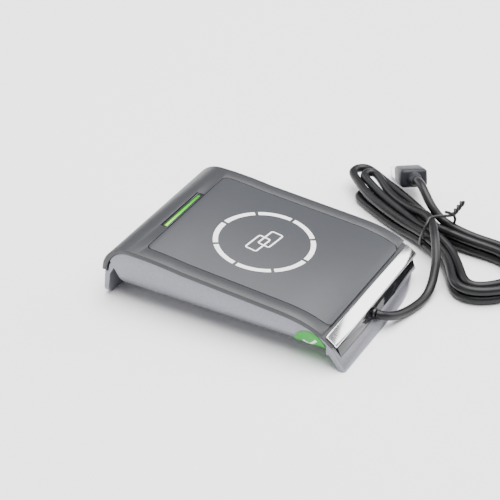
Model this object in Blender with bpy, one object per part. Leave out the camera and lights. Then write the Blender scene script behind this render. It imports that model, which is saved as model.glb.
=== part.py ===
"""Desktop contactless card reader with a tied USB lead. Metres, +Z up.

The housing lies along X: the light bar is near the -X end and the cable leaves the +X end.
The origin is at the middle of the rectangle that the housing stands on.
"""

import math

import bmesh
import bpy
from mathutils import Matrix, Vector

MM = 0.001
GAP = 0.3 * MM

# Driving dimensions of the housing
LENGTH = 116.0 * MM
WIDTH = 79.0 * MM
SHEET = 2.2 * MM
X_MIN = -LENGTH / 2
X_MAX = LENGTH / 2
HALF_WIDTH = WIDTH / 2

# Side line of the cover: a quarter roll at the light end, then a long falling crown
ROLL_RADIUS = 13.3 * MM
ROLL_X = X_MIN + 0.2 * MM + ROLL_RADIUS
ROLL_Z = 13.4 * MM
TOP_Z = ROLL_Z + ROLL_RADIUS
FALL_SLOPE = 0.075
DROOP_START = 23.0 * MM
DROOP = 2.47e-4 / MM**2
COVER_END = X_MAX - 4.6 * MM
ROLL_STEPS = 10
CROWN_STEPS = 26

# Inset panel, light bar and trim
PANEL_X0 = -38.9 * MM
PANEL_X1 = 47.6 * MM
PANEL_HALF = 33.0 * MM
PANEL_CORNER = 2.4 * MM
PANEL_POCKET = 1.2 * MM
PANEL_THICK = 0.9 * MM
GROOVE = 0.35 * MM
BAR_X = -41.2 * MM
BAR_LENGTH = 29.0 * MM
BAR_WIDTH = 1.8 * MM
FRAME_WIDTH = 0.7 * MM
TRIM_X0 = 49.2 * MM
TRIM_X1 = 53.6 * MM
TRIM_THICK = 0.9 * MM
TRIM_HALF = 38.7 * MM

# Base
WALL = 2.0 * MM
BASE_HALF = 39.0 * MM
HULL_BOTTOM = 5.5 * MM
HULL_ROUND = 8.0 * MM
HULL_X0 = -52.2 * MM
HULL_X1 = 49.0 * MM
LEG_CORNER = 5.0 * MM
END_PANEL_HALF = 36.5 * MM
SCREW_ROWS = (-27.0 * MM, 27.0 * MM)
SCREW_PLACES = (-38.0 * MM, 38.0 * MM)

# Cable
CABLE_DIAMETER = 4.0 * MM
EXIT_Y = -4.5 * MM
EXIT_Z = 7.2 * MM

# Rest of the lead: a hank lying behind the cable end, tied round its waist
HANK_LOW = 1.2 * MM
HANK_HIGH = 10.1 * MM
TIE_CENTRE = Vector((53.0 * MM, 64.0 * MM, 0.0))
TIE_ANGLE = math.radians(-25.3)
TIE_HALF = 9.3 * MM
TIE_HIGH = 18.6 * MM
TIE_THICK = 0.7 * MM
TIE_WIDTH = 1.6 * MM

# USB plug, leaning on the hank with its shell down to the table
PLUG_REAR = Vector((29.2 * MM, 90.6 * MM, 15.4 * MM))
PLUG_HEADING = math.radians(124.0)
PLUG_TILT = math.radians(24.0)
PLUG_LENGTH = 19.0 * MM
PLUG_WIDTH = 12.5 * MM
PLUG_HEIGHT = 8.5 * MM
SHELL_LENGTH = 12.0 * MM
SHELL_WIDTH = 12.0 * MM
SHELL_HEIGHT = 4.5 * MM
SHELL_WALL = 0.4 * MM
RELIEF_LENGTH = 7.0 * MM

# Board
BOARD_Z = 11.0 * MM
BOARD_THICK = 1.2 * MM


def clear_scene():
    for obj in list(bpy.data.objects):
        bpy.data.objects.remove(obj, do_unlink=True)


def material(name, colour, roughness, metallic=0.0):
    found = bpy.data.materials.get(name)
    if found:
        return found
    made = bpy.data.materials.new(name)
    made.use_nodes = True
    shader = made.node_tree.nodes["Principled BSDF"]
    shader.inputs["Base Color"].default_value = (*colour, 1.0)
    shader.inputs["Roughness"].default_value = roughness
    shader.inputs["Metallic"].default_value = metallic
    made.diffuse_color = (*colour, 1.0)
    return made


def charcoal():
    return material("charcoal_plastic", (0.055, 0.056, 0.062), 0.55)


def silver():
    return material("silver_paint", (0.5, 0.5, 0.53), 0.38, 0.6)


def chrome():
    return material("polished_metal", (0.85, 0.85, 0.86), 0.12, 1.0)


def gloss_black():
    return material("gloss_black", (0.03, 0.03, 0.034), 0.15)


def rubber():
    return material("black_rubber", (0.015, 0.015, 0.016), 0.7)


def cable_jacket():
    return material("cable_jacket", (0.012, 0.012, 0.013), 0.4)


def board_green():
    return material("board_laminate", (0.02, 0.13, 0.06), 0.45)


def chip_black():
    return material("chip_black", (0.02, 0.02, 0.022), 0.5)


def lens_green():
    return material("green_lens", (0.12, 0.75, 0.03), 0.3)


def finish_mesh(name, bm, mat):
    bmesh.ops.remove_doubles(bm, verts=bm.verts, dist=1e-7)
    bmesh.ops.recalc_face_normals(bm, faces=bm.faces)
    mesh = bpy.data.meshes.new(name)
    bm.to_mesh(mesh)
    bm.free()
    mesh.materials.append(mat)
    obj = bpy.data.objects.new(name, mesh)
    bpy.context.scene.collection.objects.link(obj)
    return obj


def prism(name, outline, axis, low, high, mat):
    """A closed outline swept straight along an axis; the outline is (x, z) along Y, (y, z) along X, (x, y) along Z."""
    bm = bmesh.new()
    if axis == "Y":
        points = [(a, low, b) for a, b in outline]
        sweep = Vector((0, high - low, 0))
    elif axis == "X":
        points = [(low, a, b) for a, b in outline]
        sweep = Vector((high - low, 0, 0))
    else:
        points = [(a, b, low) for a, b in outline]
        sweep = Vector((0, 0, high - low))
    face = bm.faces.new([bm.verts.new(p) for p in points])
    grown = bmesh.ops.extrude_face_region(bm, geom=[face])
    moved = [v for v in grown["geom"] if isinstance(v, bmesh.types.BMVert)]
    bmesh.ops.translate(bm, verts=moved, vec=sweep)
    bmesh.ops.triangulate(bm, faces=[f for f in bm.faces if len(f.verts) > 4])
    return finish_mesh(name, bm, mat)


def box(name, low, high, mat):
    outline = [(low[0], low[1]), (high[0], low[1]), (high[0], high[1]), (low[0], high[1])]
    return prism(name, outline, "Z", low[2], high[2], mat)


def rounded_box(name, low, high, mat, radius, segments=3):
    obj = box(name, low, high, mat)
    bevel = obj.modifiers.new("rounding", "BEVEL")
    bevel.width = radius
    bevel.segments = segments
    bevel.limit_method = "ANGLE"
    return obj


def rod(name, radius, depth, centre, axis, mat, sides=24, radius_end=None):
    """A cylinder or cone of the given depth, its axis along the given direction."""
    bm = bmesh.new()
    end = radius if radius_end is None else radius_end
    bmesh.ops.create_cone(bm, cap_ends=True, segments=sides, radius1=radius, radius2=end, depth=depth)
    turn = Vector((0, 0, 1)).rotation_difference(Vector(axis)).to_matrix().to_4x4()
    bmesh.ops.transform(bm, matrix=Matrix.Translation(centre) @ turn, verts=bm.verts)
    return finish_mesh(name, bm, mat)


def helper(obj):
    obj.hide_render = True
    obj.display_type = "WIRE"
    return obj


def boolean(obj, other, operation="DIFFERENCE"):
    mod = obj.modifiers.new(operation.lower() + "_" + other.name, "BOOLEAN")
    mod.operation = operation
    mod.object = helper(other)
    return obj


def arc(cx, cz, radius, start, end, steps):
    """Points on an arc from start to end degrees, both ends included."""
    found = []
    for i in range(steps + 1):
        angle = math.radians(start + (end - start) * i / steps)
        found.append((cx + radius * math.cos(angle), cz + radius * math.sin(angle)))
    return found


def rounded_rectangle(x0, y0, x1, y1, radius, steps=6):
    return (
        arc(x1 - radius, y0 + radius, radius, -90, 0, steps)
        + arc(x1 - radius, y1 - radius, radius, 0, 90, steps)
        + arc(x0 + radius, y1 - radius, radius, 90, 180, steps)
        + arc(x0 + radius, y0 + radius, radius, 180, 270, steps)
    )


def crown(x):
    """Height of the cover's outer face behind the roll."""
    droop = DROOP * max(0.0, x - DROOP_START) ** 3
    return TOP_Z - FALL_SLOPE * (x - ROLL_X) * smooth_start(x) - droop


def smooth_start(x):
    """Eases the slope in over the first stretch behind the roll."""
    return min(1.0, (x - ROLL_X) / (25 * MM))


def side_line(depth, x_from=None, x_to=COVER_END):
    """Points on the cover's side line, moved inwards by depth, from the roll's foot to x_to."""
    found = []
    if x_from is None:
        found += arc(ROLL_X, ROLL_Z, ROLL_RADIUS - depth, 180, 90, ROLL_STEPS)
        x_from = ROLL_X
    for i in range(CROWN_STEPS + 1):
        x = x_from + (x_to - x_from) * i / CROWN_STEPS
        step = 0.1 * MM
        slope = (crown(x + step) - crown(x)) / step if x > ROLL_X else 0.0
        length = math.hypot(1.0, slope)
        point = (x + depth * slope / length, crown(x) - depth / length)
        if not found or point[0] > found[-1][0] + 0.2 * MM:
            found.append(point)
    return found


def curved_layer(name, top, bottom, x_from, x_to, half, mat):
    """A layer that follows the cover's side line between two depths."""
    outline = side_line(top, x_from, x_to) + side_line(bottom, x_from, x_to)[::-1]
    return prism(name, outline, "Y", -half, half, mat)


def panel_zone(name, grow, low, high):
    outline = rounded_rectangle(
        PANEL_X0 - grow, -PANEL_HALF - grow, PANEL_X1 + grow, PANEL_HALF + grow, PANEL_CORNER
    )
    return prism(name, outline, "Z", low, high, charcoal())


def make_cover():
    cover = curved_layer("top_cover", 0.0, SHEET, None, COVER_END, HALF_WIDTH, charcoal())
    pocket = curved_layer(
        "cut_panel_pocket", -3 * MM, PANEL_POCKET, -50 * MM, 53 * MM, HALF_WIDTH - 2 * MM, charcoal()
    )
    boolean(pocket, panel_zone("cut_panel_zone", GROOVE, 0.0, 40 * MM), "INTERSECT")
    boolean(cover, pocket)
    trim_bed = curved_layer(
        "cut_trim_bed", -3 * MM, TRIM_THICK + GAP, TRIM_X0 - 1.6 * MM, 58 * MM, HALF_WIDTH + MM, charcoal()
    )
    boolean(cover, trim_bed)
    slot = box(
        "cut_bar_slot",
        (BAR_X - BAR_WIDTH / 2 - FRAME_WIDTH - GAP, -BAR_LENGTH / 2 - FRAME_WIDTH - GAP, 15 * MM),
        (BAR_X + BAR_WIDTH / 2 + FRAME_WIDTH + GAP, BAR_LENGTH / 2 + FRAME_WIDTH + GAP, 35 * MM),
        charcoal(),
    )
    boolean(cover, slot)


def make_panel():
    panel = curved_layer(
        "top_panel", PANEL_POCKET - PANEL_THICK - GAP, PANEL_POCKET - GAP, -50 * MM, 53 * MM, PANEL_HALF + MM, charcoal()
    )
    boolean(panel, panel_zone("cut_panel_outline", 0.0, 0.0, 40 * MM), "INTERSECT")
    relief = box(
        "cut_panel_relief",
        (BAR_X - 5 * MM, -BAR_LENGTH / 2 - FRAME_WIDTH - 2 * GAP, 15 * MM),
        (BAR_X + BAR_WIDTH / 2 + FRAME_WIDTH + 2 * GAP, BAR_LENGTH / 2 + FRAME_WIDTH + 2 * GAP, 35 * MM),
        charcoal(),
    )
    boolean(panel, relief)


def make_light_bar():
    top = crown(BAR_X)
    half_x = BAR_WIDTH / 2
    half_y = BAR_LENGTH / 2
    frame = box(
        "light_bar_frame",
        (BAR_X - half_x - FRAME_WIDTH, -half_y - FRAME_WIDTH, top - 2.0 * MM),
        (BAR_X + half_x + FRAME_WIDTH, half_y + FRAME_WIDTH, top - 0.05 * MM),
        gloss_black(),
    )
    boolean(
        frame,
        box(
            "cut_frame_window",
            (BAR_X - half_x, -half_y, 10 * MM),
            (BAR_X + half_x, half_y, 40 * MM),
            gloss_black(),
        ),
    )
    inset = 0.15 * MM
    rounded_box(
        "light_bar",
        (BAR_X - half_x + inset, -half_y + inset, top - 4.0 * MM),
        (BAR_X + half_x - inset, half_y - inset, top - 0.3 * MM),
        lens_green(),
        0.3 * MM,
        2,
    )


def make_trim():
    """The polished strip across the cable end, with a lip folded down at its front."""
    outline = side_line(0.0, TRIM_X0, TRIM_X1)
    front = outline[-1]
    lip = [(front[0] + 0.35 * MM, front[1] - 0.4 * MM), (front[0] + 0.35 * MM, front[1] - 1.1 * MM)]
    back = [(front[0] - 0.1 * MM, front[1] - 1.1 * MM)]
    under = side_line(TRIM_THICK, TRIM_X0, TRIM_X1 - 0.2 * MM)[::-1]
    prism("end_trim", outline + lip + back + under, "Y", -TRIM_HALF, TRIM_HALF, chrome())


def hull_outline():
    """The base between its leg and its ramp: (x, z) round the underside and up to the cover."""
    foot = [(HULL_X0 + 1.2 * MM, 13.5 * MM), (HULL_X0 + 2.7 * MM, 9.5 * MM), (HULL_X0 + 6.2 * MM, HULL_BOTTOM)]
    tail = [(HULL_X1, HULL_BOTTOM), (52.2 * MM, 8.6 * MM)]
    top = side_line(SHEET + GAP, None, 52.2 * MM)
    top = [p for p in top if p[1] > 18 * MM or p[0] > 0]
    return top[::-1] + foot + tail


def make_base():
    hull = prism("base_shell", hull_outline(), "Y", -BASE_HALF, BASE_HALF, silver())
    section = (
        [(BASE_HALF + MM, 40 * MM), (-BASE_HALF - MM, 40 * MM), (-BASE_HALF - MM, 20 * MM), (-BASE_HALF, 20 * MM)]
        + arc(-BASE_HALF + HULL_ROUND, HULL_BOTTOM + HULL_ROUND, HULL_ROUND, 180, 270, 8)
        + arc(BASE_HALF - HULL_ROUND, HULL_BOTTOM + HULL_ROUND, HULL_ROUND, 270, 360, 8)
        + [(BASE_HALF, 20 * MM), (BASE_HALF + MM, 20 * MM)]
    )
    rounder = prism("cut_hull_section", section, "X", -70 * MM, 70 * MM, silver())
    boolean(hull, rounder, "INTERSECT")
    boolean(hull, make_leg(), "UNION")
    boolean(hull, make_ramp(), "UNION")
    boolean(hull, make_cavity())
    boss = box(
        "cut_cable_boss",
        (44.0 * MM, EXIT_Y - 4.2 * MM, 4.4 * MM),
        (51.8 * MM, EXIT_Y + 4.2 * MM, 7.4 * MM),
        silver(),
    )
    boolean(hull, boss, "UNION")
    for y in SCREW_ROWS:
        for x in SCREW_PLACES:
            boolean(hull, rod("cut_screw_well", 3.4 * MM, 3.0 * MM, (x, y, HULL_BOTTOM), (0, 0, 1), silver()))
            boolean(hull, rod("cut_screw_hole", 1.5 * MM, 12 * MM, (x, y, 10 * MM), (0, 0, 1), silver()))
    boolean(hull, rod("cut_cable_way", 1.8 * MM, 22 * MM, (55.8 * MM, EXIT_Y, EXIT_Z), (1, 0, 0), silver()))
    boolean(hull, rod("cut_collar_seat", 2.8 * MM, 10 * MM, (58.9 * MM, EXIT_Y, EXIT_Z), (1, 0, 0), silver()))
    boolean(hull, end_panel_block("cut_end_pocket", GAP))


def make_leg():
    """The plate that the light end stands on, hung from the hull under the roll."""
    outline = [
        (X_MIN + 3.6 * MM, ROLL_Z + 3 * MM),
        (X_MIN + 2.9 * MM, ROLL_Z - 0.6 * MM),
        (X_MIN + 1.2 * MM, ROLL_Z - 0.8 * MM),
        (X_MIN, 1.2 * MM),
        (X_MIN + 0.4 * MM, 0.0),
        (X_MIN + 1.9 * MM, 0.0),
        (X_MIN + 2.2 * MM, 1.2 * MM),
        (X_MIN + 3.5 * MM, 11.5 * MM),
        (X_MIN + 6.4 * MM, 16.5 * MM),
        (X_MIN + 9.0 * MM, 20.5 * MM),
        (X_MIN + 7.0 * MM, 21.5 * MM),
    ]
    leg = prism("cut_leg", outline, "Y", -BASE_HALF, BASE_HALF, silver())
    shape = (
        [(BASE_HALF + MM, 40 * MM), (-BASE_HALF - MM, 40 * MM), (-BASE_HALF - MM, 15 * MM), (-BASE_HALF, 15 * MM)]
        + arc(-BASE_HALF + LEG_CORNER, LEG_CORNER, LEG_CORNER, 180, 270, 8)
        + arc(BASE_HALF - LEG_CORNER, LEG_CORNER, LEG_CORNER, 270, 360, 8)
        + [(BASE_HALF, 15 * MM), (BASE_HALF + MM, 15 * MM)]
    )
    boolean(leg, prism("cut_leg_shape", shape, "X", -70 * MM, -40 * MM, silver()), "INTERSECT")
    return leg


def ramp_edge(y):
    """How far the ramp reaches at each y: straight, then drawn back round its far corner."""
    start = 10 * MM
    return X_MAX - (5.6 * MM) * max(0.0, (y - start) / (BASE_HALF - start)) ** 2


def make_ramp():
    """The plate that runs down to the table under the cable."""
    outline = [
        (49.5 * MM, 11.6 * MM),
        (52.0 * MM, 9.9 * MM),
        (55.0 * MM, 5.6 * MM),
        (X_MAX - 0.1 * MM, 1.0 * MM),
        (X_MAX, 0.0),
        (X_MAX - 2.6 * MM, 0.0),
        (X_MAX - 4.0 * MM, 2.2 * MM),
        (X_MAX - 7.2 * MM, 6.4 * MM),
        (49.3 * MM, 6.4 * MM),
        (49.3 * MM, 10.0 * MM),
    ]
    ramp = prism("cut_ramp", outline, "Y", -BASE_HALF, BASE_HALF, silver())
    steps = 10
    edge = [(40 * MM, -BASE_HALF + 0.01 * MM)]
    edge += arc(X_MAX - 1.5 * MM, -BASE_HALF + 1.51 * MM, 1.5 * MM, -90, 0, 4)
    for i in range(steps + 1):
        y = 10 * MM + (BASE_HALF - 10 * MM) * i / steps
        edge.append((ramp_edge(y), y))
    edge.append((40 * MM, BASE_HALF))
    boolean(ramp, prism("cut_ramp_plan", edge, "Z", -5 * MM, 30 * MM, silver()), "INTERSECT")
    return ramp


def make_cavity():
    """The hollow inside the base, open upwards to the cover."""
    outline = [
        (HULL_X0 + 6.5 * MM, 26.0 * MM),
        (HULL_X0 + 6.5 * MM, 14.5 * MM),
        (HULL_X0 + 9.5 * MM, HULL_BOTTOM + WALL),
        (47.0 * MM, HULL_BOTTOM + WALL),
        (48.5 * MM, 12.0 * MM),
        (48.5 * MM, 30.0 * MM),
        (HULL_X0 + 6.5 * MM, 30.0 * MM),
    ]
    inner = BASE_HALF - WALL
    cavity = prism("cut_cavity", outline, "Y", -inner, inner, silver())
    radius = HULL_ROUND - WALL
    section = (
        [(inner + MM, 40 * MM), (-inner - MM, 40 * MM), (-inner - MM, 22 * MM), (-inner, 22 * MM)]
        + arc(-inner + radius, HULL_BOTTOM + WALL + radius, radius, 180, 270, 6)
        + arc(inner - radius, HULL_BOTTOM + WALL + radius, radius, 270, 360, 6)
        + [(inner, 22 * MM), (inner + MM, 22 * MM)]
    )
    boolean(cavity, prism("cut_cavity_section", section, "X", -60 * MM, 60 * MM, silver()), "INTERSECT")
    return cavity


def end_panel_block(name, grow):
    """The dark panel let into the top of the ramp; grow widens it into its own pocket."""
    low = 5.7 * MM - grow
    outline = [(53.5 * MM - grow, low), (51.0 * MM - grow, 10.4 * MM)]
    if grow:
        outline += [(51.0 * MM - grow, 14 * MM), (58 * MM, 14 * MM), (58 * MM, low)]
    else:
        outline += [(53.1 * MM, 10.3 * MM), (54.9 * MM, low)]
    return prism(name, outline, "Y", -END_PANEL_HALF - grow, END_PANEL_HALF + grow, gloss_black())


def make_end_panel():
    panel = end_panel_block("end_panel", 0.0)
    boolean(panel, rod("cut_panel_bore", 1.9 * MM, 20 * MM, (50 * MM, EXIT_Y, EXIT_Z), (1, 0, 0), gloss_black()))
    boolean(panel, rod("cut_panel_seat", 2.7 * MM, 10 * MM, (58.9 * MM, EXIT_Y, EXIT_Z), (1, 0, 0), gloss_black()))


def make_strain_relief():
    """The collar that grips the lead, with its neck through the end panel, and the lead's end inside."""
    collar = rod("cable_collar", 2.4 * MM, 1.2 * MM, (54.8 * MM, EXIT_Y, EXIT_Z), (1, 0, 0), rubber(), 28, 2.2 * MM)
    neck = rod("cut_collar_neck", 1.5 * MM, 6.6 * MM, (51.5 * MM, EXIT_Y, EXIT_Z), (1, 0, 0), rubber(), 20)
    boolean(collar, neck, "UNION")
    rise = ((47.8, 7.2), (46.5, 7.3), (45.8, 8.4), (45.7, 10.2), (45.6, 12.1), (45.2, 13.1), (44.4, 13.3))
    tube("inner_cable", [Vector((x * MM, EXIT_Y, z * MM)) for x, z in rise], 2.4 * MM, cable_jacket())


def make_board():
    board = box(
        "main_board",
        (-42 * MM, -33 * MM, BOARD_Z),
        (44 * MM, 33 * MM, BOARD_Z + BOARD_THICK),
        board_green(),
    )
    for y in SCREW_ROWS:
        for x in SCREW_PLACES:
            boolean(board, rod("cut_board_hole", 3.2 * MM, 6 * MM, (x, y, BOARD_Z), (0, 0, 1), board_green()))


def make_antenna():
    """A flat coil former lying on the board."""
    low = BOARD_Z + BOARD_THICK + GAP
    outer = rounded_rectangle(-28 * MM, -26 * MM, 28 * MM, 26 * MM, 5 * MM)
    inner = rounded_rectangle(-23 * MM, -21 * MM, 23 * MM, 21 * MM, 4 * MM)
    copper = material("copper_coil", (0.72, 0.33, 0.15), 0.35, 1.0)
    coil = prism("antenna_coil", outer, "Z", low, low + 0.8 * MM, copper)
    boolean(coil, prism("cut_coil_inner", inner, "Z", 0.0, 30 * MM, copper))


def make_components():
    base = BOARD_Z + BOARD_THICK + GAP
    chips = (
        ("reader_chip", (2 * MM, 3 * MM), (5 * MM, 5 * MM), 1.0 * MM),
        ("controller_chip", (-12 * MM, -6 * MM), (7 * MM, 7 * MM), 1.4 * MM),
        ("memory_chip", (-12 * MM, 8 * MM), (4 * MM, 5 * MM), 1.2 * MM),
    )
    for name, (x, y), (w, d), h in chips:
        box(name, (x - w / 2, y - d / 2, base), (x + w / 2, y + d / 2, base + h), chip_black())
    steel = material("plated_can", (0.75, 0.75, 0.74), 0.25, 1.0)
    rounded_box("crystal", (8 * MM, -9 * MM, base), (18 * MM, -5.5 * MM, base + 3 * MM), steel, 1.2 * MM)
    rod("capacitor", 2.5 * MM, 6 * MM, (14 * MM, 8 * MM, base + 3 * MM), (0, 0, 1), chip_black(), 20)
    rod("buzzer", 5 * MM, 3.6 * MM, (33 * MM, 14 * MM, base + 1.8 * MM), (0, 0, 1), chip_black(), 28)
    for i in range(3):
        y = (i - 1) * 9 * MM
        rounded_box(
            "indicator_led_%d" % (i + 1),
            (BAR_X - 1.5 * MM, y - 1.5 * MM, base),
            (BAR_X + 1.5 * MM, y + 1.5 * MM, base + 2 * MM),
            material("led_resin", (0.85, 0.9, 0.8), 0.2),
            0.3 * MM,
            2,
        )
    guide_top = crown(BAR_X) - 4.0 * MM - GAP
    box(
        "light_guide",
        (BAR_X - 1.2 * MM, -12 * MM, base + 2 * MM + GAP),
        (BAR_X + 1.2 * MM, 12 * MM, guide_top),
        material("clear_guide", (0.8, 0.85, 0.82), 0.1),
    )
    nylon = material("white_nylon", (0.8, 0.79, 0.74), 0.45)
    box("cable_socket", (36 * MM, -8.4 * MM, base), (39.5 * MM, 1.6 * MM, base + 4 * MM), nylon)
    box("cable_plug_inner", (39.8 * MM, -7.4 * MM, base), (43.8 * MM, 0.6 * MM, base + 2.6 * MM), nylon)


def make_fasteners():
    zinc = material("zinc_screw", (0.7, 0.7, 0.72), 0.3, 1.0)
    names = iter(("case_screw_1", "case_screw_2", "case_screw_3", "case_screw_4"))
    for y in SCREW_ROWS:
        for x in SCREW_PLACES:
            screw = rod(next(names), 2.8 * MM, 1.0 * MM, (x, y, HULL_BOTTOM + 0.8 * MM), (0, 0, 1), zinc, 24)
            shank = rod("cut_shank", 1.2 * MM, 9 * MM, (x, y, HULL_BOTTOM + 5.2 * MM), (0, 0, 1), zinc, 12)
            boolean(screw, shank, "UNION")
            for turn in (0.0, 90.0):
                slot = box("cut_slot", (-1.5 * MM, -0.3 * MM, -0.5 * MM), (1.5 * MM, 0.3 * MM, 0.35 * MM), zinc)
                slot.location = (x, y, HULL_BOTTOM + 0.3 * MM)
                slot.rotation_euler = (0, 0, math.radians(turn))
                boolean(screw, slot)


def make_feet():
    """Rubber blocks behind the leg and the ramp, which keep the housing from sliding."""
    names = iter(("rubber_foot_1", "rubber_foot_2", "rubber_foot_3", "rubber_foot_4"))
    for y in (-14 * MM, 14 * MM):
        rounded_box(
            next(names),
            (X_MIN + 2.75 * MM, y - 5 * MM, 0.0),
            (X_MIN + 6.4 * MM, y + 5 * MM, 3.4 * MM),
            rubber(),
            0.8 * MM,
            2,
        )
    for y in (-26 * MM, 26 * MM):
        rounded_box(
            next(names),
            (X_MAX - 11.5 * MM, y - 5 * MM, 0.0),
            (X_MAX - 6.0 * MM, y + 5 * MM, 5.2 * MM),
            rubber(),
            0.8 * MM,
            2,
        )


def make_labels():
    """A round sticker on the rounded lower edge of the base, and a blank rating label underneath."""
    thin = 0.25 * MM
    lift = 0.05 * MM
    green = material("sticker_green", (0.03, 0.5, 0.06), 0.35)
    cy = -BASE_HALF + HULL_ROUND
    cz = HULL_BOTTOM + HULL_ROUND
    outer = arc(cy, cz, HULL_ROUND + lift + thin, 175, 275, 20)
    inner = arc(cy, cz, HULL_ROUND + lift, 275, 175, 20)
    band = prism("inspection_sticker", outer + inner, "X", 32 * MM, 52 * MM, green)
    direction = Vector((0, -math.cos(math.radians(40)), -math.sin(math.radians(40))))
    place = Vector((41.4 * MM, cy, cz)) + direction * HULL_ROUND
    boolean(band, rod("cut_sticker_round", 7.3 * MM, 14 * MM, place, direction, green, 36), "INTERSECT")
    foil = material("label_foil", (0.7, 0.7, 0.7), 0.4)
    low = HULL_BOTTOM - lift - thin
    outline = rounded_rectangle(-18 * MM, -14 * MM, 24 * MM, 14 * MM, 1.5 * MM, 4)
    prism("rating_label", outline, "Z", low, low + thin, foil)


def smooth_route(points, count):
    """Evenly counted points on a Catmull-Rom curve through the route's own points."""
    points = [Vector(p) * MM for p in points]
    ends = [points[0] * 2 - points[1]] + points + [points[-1] * 2 - points[-2]]
    found = []
    spans = len(points) - 1
    for i in range(count + 1):
        place = min(i * spans / count, spans - 1e-9)
        k = int(place)
        t = place - k
        a, b, c, d = ends[k : k + 4]
        found.append(
            0.5 * ((2 * b) + (c - a) * t + (2 * a - 5 * b + 4 * c - d) * t**2 + (3 * b - a - 3 * c + d) * t**3)
        )
    return found


def tube(name, points, diameter, mat, resolution=2):
    curve = bpy.data.curves.new(name, "CURVE")
    curve.dimensions = "3D"
    curve.bevel_depth = diameter / 2
    curve.bevel_resolution = resolution
    curve.use_fill_caps = True
    spline = curve.splines.new("POLY")
    spline.points.add(len(points) - 1)
    for slot, point in zip(spline.points, points):
        slot.co = (*point, 1.0)
    curve.materials.append(mat)
    obj = bpy.data.objects.new(name, curve)
    bpy.context.scene.collection.objects.link(obj)
    return obj


# Routes in millimetres, chosen by hand
LEAD_ROUTE = (
    (56.1, -4.5, 7.15),
    (57.2, -4.25, 6.9),
    (58.4, -3.2, 6.1),
    (59.7, -0.9, 5.0),
    (61.0, 3.2, 3.7),
    (62.5, 7.6, 2.6),
    (63.8, 12.0, 2.1),
    (65.0, 16.8, 2.1),
    (65.7, 21.6, 2.2),
    (65.8, 26.4, 3.0),
    (65.3, 31.0, 5.0),
    (64.3, 35.4, 8.2),
    (62.8, 39.8, 11.5),
    (60.4, 44.6, 14.0),
    (57.2, 50.4, 15.2),
    (53.4, 57.4, 15.4),
    (49.6, 64.2, 15.0),
    (46.4, 69.4, 13.9),
)
TAIL_ROUTE = (
    (45.4, 71.4, 14.6),
    (43.2, 74.0, 16.6),
    (40.6, 76.6, 18.4),
    (37.9, 79.2, 19.6),
    (35.4, 81.8, 19.7),
    (33.15, 84.75, 18.55),
)
HANK_OUTLINE = (
    (-7.5, 93.0),
    (-6.0, 99.0),
    (0.0, 102.0),
    (8.0, 98.5),
    (19.5, 88.6),
    (33.5, 79.6),
    (46.5, 73.6),
    (56.5, 70.4),
    (68.0, 71.5),
    (80.0, 72.5),
    (92.0, 69.0),
    (101.0, 60.0),
    (103.0, 50.0),
    (99.0, 40.0),
    (90.0, 31.5),
    (80.0, 28.0),
    (72.5, 31.0),
    (68.6, 38.5),
    (65.0, 46.0),
    (57.5, 53.0),
    (49.0, 58.0),
    (38.0, 63.5),
    (25.0, 71.0),
    (13.0, 78.5),
    (2.0, 85.5),
)


def closed_curve(points, steps):
    """A smooth closed outline through the points."""
    found = []
    count = len(points)
    for i in range(count):
        a, b, c, d = (Vector(points[(i + k) % count]) * MM for k in (-1, 0, 1, 2))
        for j in range(steps):
            t = j / steps
            p = 0.5 * ((2 * b) + (c - a) * t + (2 * a - 5 * b + 4 * c - d) * t**2 + (3 * b - a - 3 * c + d) * t**3)
            found.append((p.x, p.y))
    return found


def make_cord():
    jacket = cable_jacket()
    tube("cable_lead", smooth_route(LEAD_ROUTE, 44), CABLE_DIAMETER, jacket)
    tube("cable_tail", smooth_route(TAIL_ROUTE, 10), CABLE_DIAMETER, jacket)
    prism("cable_hank", closed_curve(HANK_OUTLINE, 3), "Z", HANK_LOW, HANK_HIGH, jacket)


def make_tie():
    """A wire tie round the waist of the hank, its two ends twisted together on top."""
    black = rubber()
    outer = rounded_rectangle(-TIE_HALF, 0.1 * MM, TIE_HALF, TIE_HIGH, 2.2 * MM)
    inner = rounded_rectangle(
        -TIE_HALF + TIE_THICK, 0.1 * MM + TIE_THICK, TIE_HALF - TIE_THICK, TIE_HIGH - TIE_THICK, 1.5 * MM
    )
    band = prism("twist_tie", outer, "X", -TIE_WIDTH / 2, TIE_WIDTH / 2, black)
    window = prism("cut_tie_inner", inner, "X", -5 * MM, 5 * MM, black)
    ends = rod("cut_tie_ends", 0.9 * MM, 7 * MM, (0.0, TIE_HALF, TIE_HIGH - 1.5 * MM), (0.1, 0.8, 0.5), black, 10)
    frame = Matrix.Translation(TIE_CENTRE) @ Matrix.Rotation(TIE_ANGLE, 4, "Z")
    for obj in (band, window, ends):
        obj.matrix_world = frame
    boolean(band, window)
    boolean(band, ends, "UNION")


def plug_frame():
    """The plug's own frame: +X is the way it goes in, +Z is the top of its grip."""
    turn = Matrix.Rotation(PLUG_HEADING, 4, "Z") @ Matrix.Rotation(PLUG_TILT, 4, "Y")
    return Matrix.Translation(PLUG_REAR) @ turn


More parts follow.
